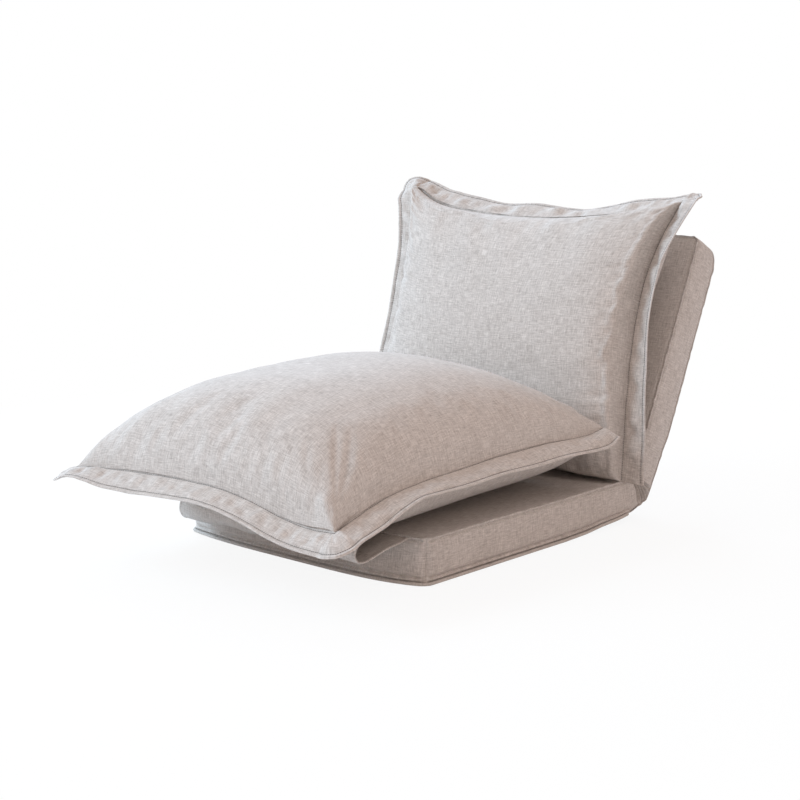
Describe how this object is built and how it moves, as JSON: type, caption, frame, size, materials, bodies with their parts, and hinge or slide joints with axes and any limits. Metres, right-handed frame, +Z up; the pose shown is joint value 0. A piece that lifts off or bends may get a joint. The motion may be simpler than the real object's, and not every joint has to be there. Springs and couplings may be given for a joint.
{
  "type": "folding floor chair",
  "caption": "Floor lounge chair: a folding padded mattress with a reclining ratchet back, a large flanged seat cushion that flips forward and a loose flanged back cushion.",
  "frame": {"origin": "on the floor, on the chair's centre plane, halfway along the seat slab from its front to the hinge axis", "axes": "+X to the right of the picture's near side and along the hinge axis, -Y the way a sitter faces, +Z up"},
  "size_m": [0.8222, 1.263, 0.6727],
  "materials": {
    "cover_cloth": "matte",
    "base_cloth": "matte",
    "foam": "matte",
    "fill": "matte",
    "webbing": "matte",
    "tube": "satin",
    "plate": "satin",
    "rivet": "satin",
    "spring": "satin"
  },
  "bodies": {
    "seat": {"seat_frame": "tube", "seat_cross_tubes": "tube", "seat_straps": "webbing", "seat_foam_face": "foam", "seat_foam_base": "foam", "seat_top_panel": "cover_cloth", "seat_side_band": "cover_cloth", "seat_base_panel": "base_cloth", "seat_welt": "cover_cloth", "bend_foam": "foam", "bend_gussets": "cover_cloth", "bend_outer_panel": "base_cloth", "bend_crease_panel": "cover_cloth", "ratchet_cheeks": "plate", "pivot_rivets": "rivet", "pawl_pins": "rivet", "spring_posts": "rivet", "seat_tail_rivets": "rivet", "pawl_springs": "spring", "cushion_flap": "cover_cloth"},
    "back": {"back_frame": "tube", "back_cross_tubes": "tube", "back_straps": "webbing", "back_foam_face": "foam", "back_foam_base": "foam", "back_front_panel": "cover_cloth", "back_side_band": "cover_cloth", "back_rear_panel": "cover_cloth", "ratchet_sectors": "plate", "back_tail_rivets": "rivet"},
    "pawls": {"ratchet_pawls": "plate"},
    "seat_cushion": {"seat_cushion_cover": "cover_cloth", "seat_cushion_insert": "fill", "seat_cushion_flange": "cover_cloth"},
    "back_cushion": {"back_cushion_cover": "cover_cloth", "back_cushion_insert": "fill", "back_cushion_flange": "cover_cloth"}
  },
  "joints": [
    {"name": "back_recline", "type": "hinge", "parent": "seat", "child": "back", "pos_m": [0, 0.345, 0.044], "axis": [-1, 0, 0], "range_deg": [0, 65], "deforming": ["bend_foam", "bend_gussets", "bend_outer_panel", "bend_crease_panel"]},
    {"name": "pawl_drop", "type": "hinge", "parent": "seat", "child": "pawls", "pos_m": [0, 0.319, 0.072], "axis": [1, 0, 0], "range_deg": [0, 9], "stiffness_Nm_per_rad": 0.2, "springref_deg": 9, "deforming": ["pawl_springs"]},
    {"name": "seat_cushion_flip", "type": "hinge", "parent": "seat", "child": "seat_cushion", "pos_m": [0, -0.497, 0.188], "axis": [1, 0, 0], "range_deg": [0, 180], "deforming": ["cushion_flap"]},
    {"name": "back_cushion_lift", "type": "slide", "parent": "back", "child": "back_cushion", "axis": [0, 0.4226, 0.9063], "range_m": [0, 0.56]}
  ]
}
